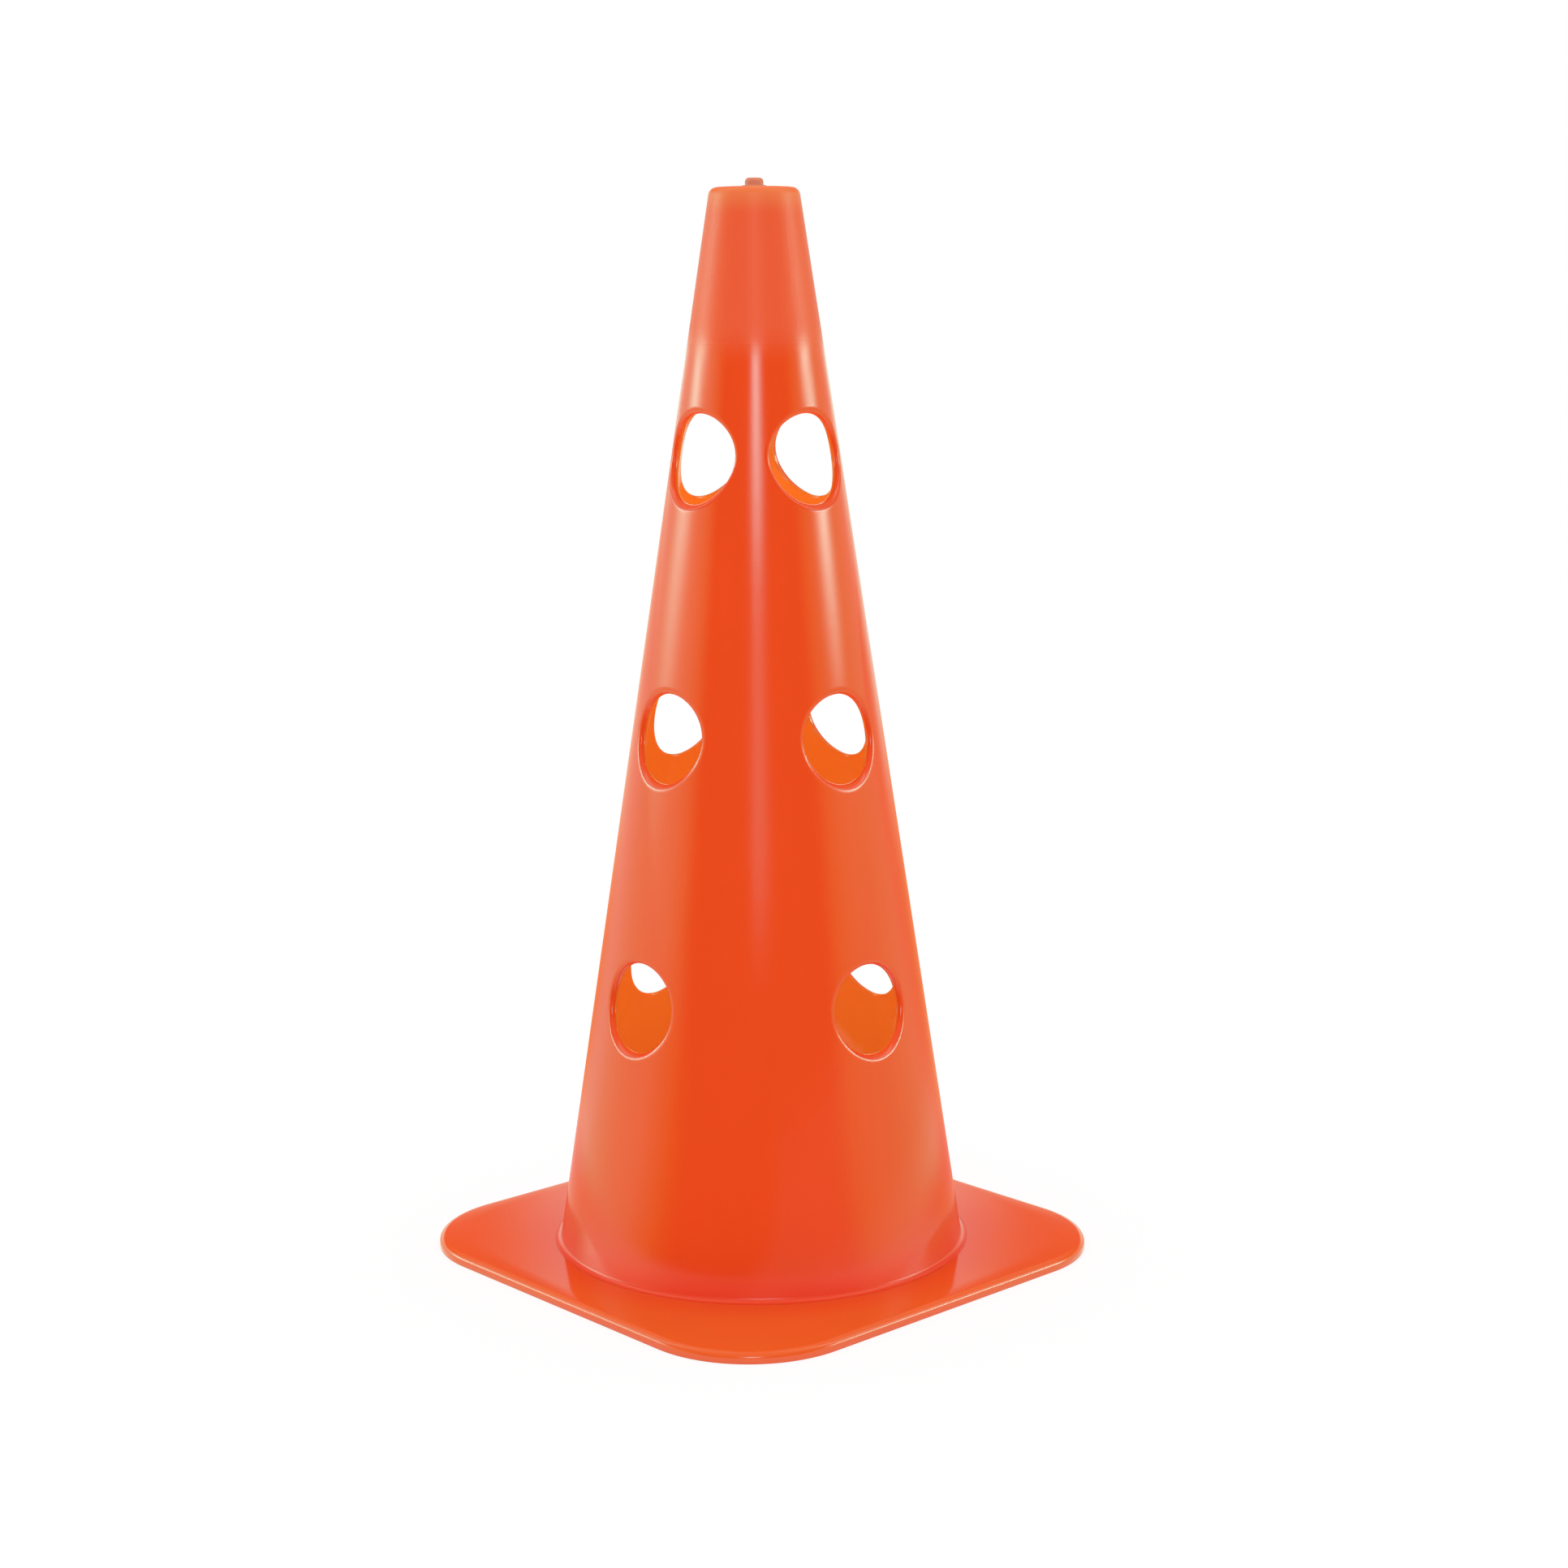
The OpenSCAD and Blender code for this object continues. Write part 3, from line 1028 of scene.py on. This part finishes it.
def studio_light(g, direction, azimuth):
    """What a glossy surface sees: a dark front, pale warm sides and soft strips."""
    x, y, z = g.parts(direction)
    turn = camera_turn(x, y, azimuth)
    rise = z.math("MAXIMUM", -1.0).math("MINIMUM", 1.0).math("ARCSINE") * (180 / math.pi)
    side = turn.math("ABSOLUTE")

    def strip(at, reach, low, full, level):
        """A soft upright strip that brightens upwards from low to full, and has half its light
        at that reach from its middle."""
        across = (turn - at) / reach
        return g.math("POWER", 0.5, across * across) * g.ease(rise, low, full, 0.0, level)

    # Pale walls to the left, to the right and behind, which end a little above the horizon
    low = g.ease(rise, 11.0, 19.0, 1.0, 0.05)
    left = g.ease(turn, -78.0, -46.0, 1.0, 0.0)
    right = g.ease(turn, 45.0, 82.0, 0.0, 0.6) + g.ease(turn, 130.0, 156.0, 0.0, 0.35)
    fading = g.ease(side, 115.0, 155.0, 0.0, 0.15) * g.ease(rise, 2.0, 9.0, 1.0, 0.0)
    pale = (left + right) * (1 - fading) * low
    rim = g.ease(side, 140.0, 165.0, 0.0, 0.3) * low
    warmth = g.ease(side, 46.0, 64.0, 0.0, 0.7) * g.ease(side, 100.0, 140.0, 1.0, 0.35) * low
    ceiling = g.ease(rise, 24.0, 45.0, 0.0, 0.35)

    # A strip by the camera, one on each side, and a narrow one behind the cone
    middle = strip(MIDDLE_STRIP, 6.5, 10.5, 15.0, 6.2) + strip(MIDDLE_STRIP, 6.5, 3.2, 6.2, 1.35)
    middle = middle * g.ease(rise, 24.0, 33.0, 1.0, 0.0)
    sides = strip(LEFT_STRIP, 12.0, -2.0, 10.0, 4.7) + strip(RIGHT_STRIP, 9.0, 2.5, 8.5, 6.4)
    sides = sides * g.ease(rise, 5.5, 8.0, 1.0, 1.25) * g.ease(rise, 8.9, 9.9, 1.0, 0.68)
    sides = sides * g.ease(rise, 10.6, 12.5, 1.0, 2.1) * g.ease(rise, 13.0, 24.0, 1.0, 0.15)
    off_middle = 180 - side + turn.math("SIGN") * 0.6
    behind = g.ease(off_middle, 3.2, 6.1, 0.95, 0.0) * g.ease(rise, 12.0, 17.0)
    behind = behind * g.ease(rise, 30.0, 45.0, 1.0, 0.0)

    cool = pale + rim + ceiling + sides + middle + behind
    warm = cool + warmth + sides * 0.15 + ceiling * 0.5
    plain = g.ease(side, 96.0, 136.0).math("MAXIMUM", g.ease(rise, 30.0, 60.0))
    return tinted(g, warm, cool, plain)


class MARKERCONE_OT_stage(bpy.types.Operator):
    """Set up the pale floor, the plain studio light and the camera"""

    bl_idname = "marker_cone.stage"
    bl_label = "Stage"

    def execute(self, context):
        scene = context.scene
        place = scene.marker_cone_stage
        scene.view_settings.view_transform = "Standard"
        self.make_floor(scene, place)
        self.make_world(scene, place)
        self.make_lamps(scene)
        self.make_camera(scene, place)
        return {"FINISHED"}

    def make_floor(self, scene, place):
        """A pale floor that keeps the object's shadow, with its own look for mirrored rays."""
        reach = 40.0
        corners = [(-reach, -reach, 0), (reach, -reach, 0), (reach, reach, 0), (-reach, reach, 0)]
        mesh = bpy.data.meshes.new("Floor")
        mesh.from_pydata(corners, [], [(0, 1, 2, 3)])
        floor = bpy.data.objects.new("Floor", mesh)
        scene.collection.objects.link(floor)
        material, g = shader("Pale floor")
        camera_ray = g.node("ShaderNodeLightPath", out="Is Camera Ray")
        glossy_ray = g.node("ShaderNodeLightPath", out="Is Glossy Ray")
        x, y, _ = g.parts(g.node("ShaderNodeTexCoord", out="Object"))
        turn = camera_turn(x, y, place.azimuth)
        side = turn.math("ABSOLUTE")
        radius = (x * x + y * y).math("SQRT")

        # Far from the cone: pale on both sides and dark in front, with a lighter patch ahead
        open_back = g.ease(radius, 0.4, 1.6) * 0.5
        left = g.ease(turn, -82.0, -50.0, 0.88, 0.0)
        left = left * g.ease(side, 120.0, 156.0, 1.0, 0.15 + open_back)
        front = g.ease(turn + 5 / radius, 7.0, 17.0) * g.ease(radius, 0.28, 0.5, 0.45, 0.22)
        right = front + g.ease(turn, 45.0, 75.0, 0.0, 0.32)
        right = right * g.ease(side, 112.0, 145.0, 1.0, 0.3)
        back = g.ease(turn, 130.0, 156.0, 0.0, 0.6) * g.ease(radius, 0.8, 2.4)
        far = left + right + back

        # Close to the cone, where the silhouettes and the plate's edge mirror it
        near = g.ease(side, 70.0, 110.0, 1.15, 0.4) - g.ease(turn, 70.0, 110.0, 0.0, 0.15)
        close = g.ease(radius, 0.16, 0.28, 1.0, 0.0)
        cool = far + (near - far) * close
        tint = g.ease(side, 42.0, 62.0, 0.0, 0.6) * g.ease(side, 100.0, 135.0, 1.0, 0.35)
        warm = cool + tint * (1 - close * 0.6)
        plain = g.ease(side, 96.0, 136.0).math("MAXIMUM", close)

        paper = g.node("ShaderNodeBsdfDiffuse", None, {"Color": (0.96, 0.96, 0.96, 1.0)})
        shine = g.node("ShaderNodeEmission", None, {"Color": (1, 1, 1, 1), "Strength": 1.01})
        seen = g.node("ShaderNodeMixShader", None, {0: camera_ray * 0.8, 1: paper, 2: shine})
        mirrored = g.node("ShaderNodeEmission", None, {"Color": tinted(g, warm, cool, plain)})
        both = g.node("ShaderNodeMixShader", None, {0: glossy_ray, 1: seen, 2: mirrored})
        g.node("ShaderNodeOutputMaterial", None, {"Surface": both})
        mesh.materials.append(material)

    def make_world(self, scene, place):
        world = bpy.data.worlds.new("Studio")
        world.use_nodes = True
        world.node_tree.nodes.clear()
        g = Graph(world.node_tree)
        glossy_ray = g.node("ShaderNodeLightPath", out="Is Glossy Ray")
        studio = studio_light(g, g.node("ShaderNodeTexCoord", out="Generated"), place.azimuth)
        seen = g.blend(glossy_ray, (1, 1, 1, 1), studio)
        background = g.node("ShaderNodeBackground", None, {"Color": seen, "Strength": 1.0})
        g.node("ShaderNodeOutputWorld", None, {"Surface": background})
        scene.world = world

    def make_lamps(self, scene):
        above = (-0.1, -0.1, 2.0)
        self.add_lamp(scene, "Overhead softbox", "AREA", above, 4.0, shape="DISK", size=1.6)
        # Weak lamps stand for the light that the real plastic lets through into the body
        for number, (height, power) in enumerate(INNER_LAMPS):
            name = f"Inner light {number}"
            axis = (0.0, 0.0, height)
            self.add_lamp(scene, name, "POINT", axis, power, shadow_soft_size=0.01)

    def add_lamp(self, scene, name, kind, location, energy, **settings):
        lamp = bpy.data.lights.new(name, kind)
        lamp.energy = energy
        for key, value in settings.items():
            setattr(lamp, key, value)
        holder = bpy.data.objects.new(name, lamp)
        holder.location = location
        holder.visible_glossy = False
        holder.visible_camera = False
        scene.collection.objects.link(holder)

    def make_camera(self, scene, place):
        """The photograph's view, from the height of the frosted top and looking a little down."""
        lens = bpy.data.cameras.new("Camera")
        lens.lens = place.lens
        lens.sensor_width = SENSOR_WIDTH
        lens.clip_start = 0.05
        lens.clip_end = 100.0
        camera = bpy.data.objects.new("Camera", lens)
        spin = place.azimuth
        x, y = place.side_step, -place.distance
        camera.location = (
            x * math.cos(spin) - y * math.sin(spin),
            x * math.sin(spin) + y * math.cos(spin),
            place.eye_height,
        )
        scene.collection.objects.link(camera)
        right = (math.cos(spin), math.sin(spin), 0.0)
        down, flat = math.sin(place.pitch), math.cos(place.pitch)
        up = (-math.sin(spin) * down, math.cos(spin) * down, flat)
        cos_roll, sin_roll = math.cos(place.roll), math.sin(place.roll)
        image_right = [r * cos_roll + u * sin_roll for r, u in zip(right, up)]
        image_up = [u * cos_roll - r * sin_roll for r, u in zip(right, up)]
        turned = Matrix((image_right, image_up, Vector(image_right).cross(Vector(image_up))))
        camera.matrix_world = Matrix.Translation(camera.location) @ turned.transposed().to_4x4()
        scene.camera = camera


# Panel and registration


class MARKERCONE_PT_panel(bpy.types.Panel):
    """Lists the marker cone's pieces, sizes and finishes"""

    bl_label = "Marker Cone"
    bl_idname = "MARKERCONE_PT_panel"
    bl_space_type = "VIEW_3D"
    bl_region_type = "UI"
    bl_category = "Marker Cone"

    def draw(self, context):
        for name, operator, _ in GROUPS:
            box = self.layout.box()
            group = getattr(context.scene, name)
            for key in group.bl_rna.properties.keys():
                if key not in ("rna_type", "name"):
                    box.prop(group, key)
            if operator:
                box.operator(operator.bl_idname)


GROUPS = (
    ("marker_cone_body", MARKERCONE_OT_shell, MARKERCONE_PG_body),
    ("marker_cone_holes", None, MARKERCONE_PG_holes),
    ("marker_cone_base", MARKERCONE_OT_base, MARKERCONE_PG_base),
    ("marker_cone_plug", MARKERCONE_OT_plug, MARKERCONE_PG_plug),
    ("marker_cone_finish", None, MARKERCONE_PG_finish),
    ("marker_cone_stage", MARKERCONE_OT_stage, MARKERCONE_PG_stage),
)


def register():
    for name, operator, group in GROUPS:
        bpy.utils.register_class(group)
        if operator:
            bpy.utils.register_class(operator)
        setattr(bpy.types.Scene, name, bpy.props.PointerProperty(type=group))
    bpy.utils.register_class(MARKERCONE_PT_panel)


def unregister():
    bpy.utils.unregister_class(MARKERCONE_PT_panel)
    for name, operator, group in reversed(GROUPS):
        delattr(bpy.types.Scene, name)
        if operator:
            bpy.utils.unregister_class(operator)
        bpy.utils.unregister_class(group)


def main():
    register()
    bpy.ops.marker_cone.shell()
    bpy.ops.marker_cone.base()
    bpy.ops.marker_cone.plug()
    bpy.ops.marker_cone.stage()


if __name__ == "__main__":
    main()
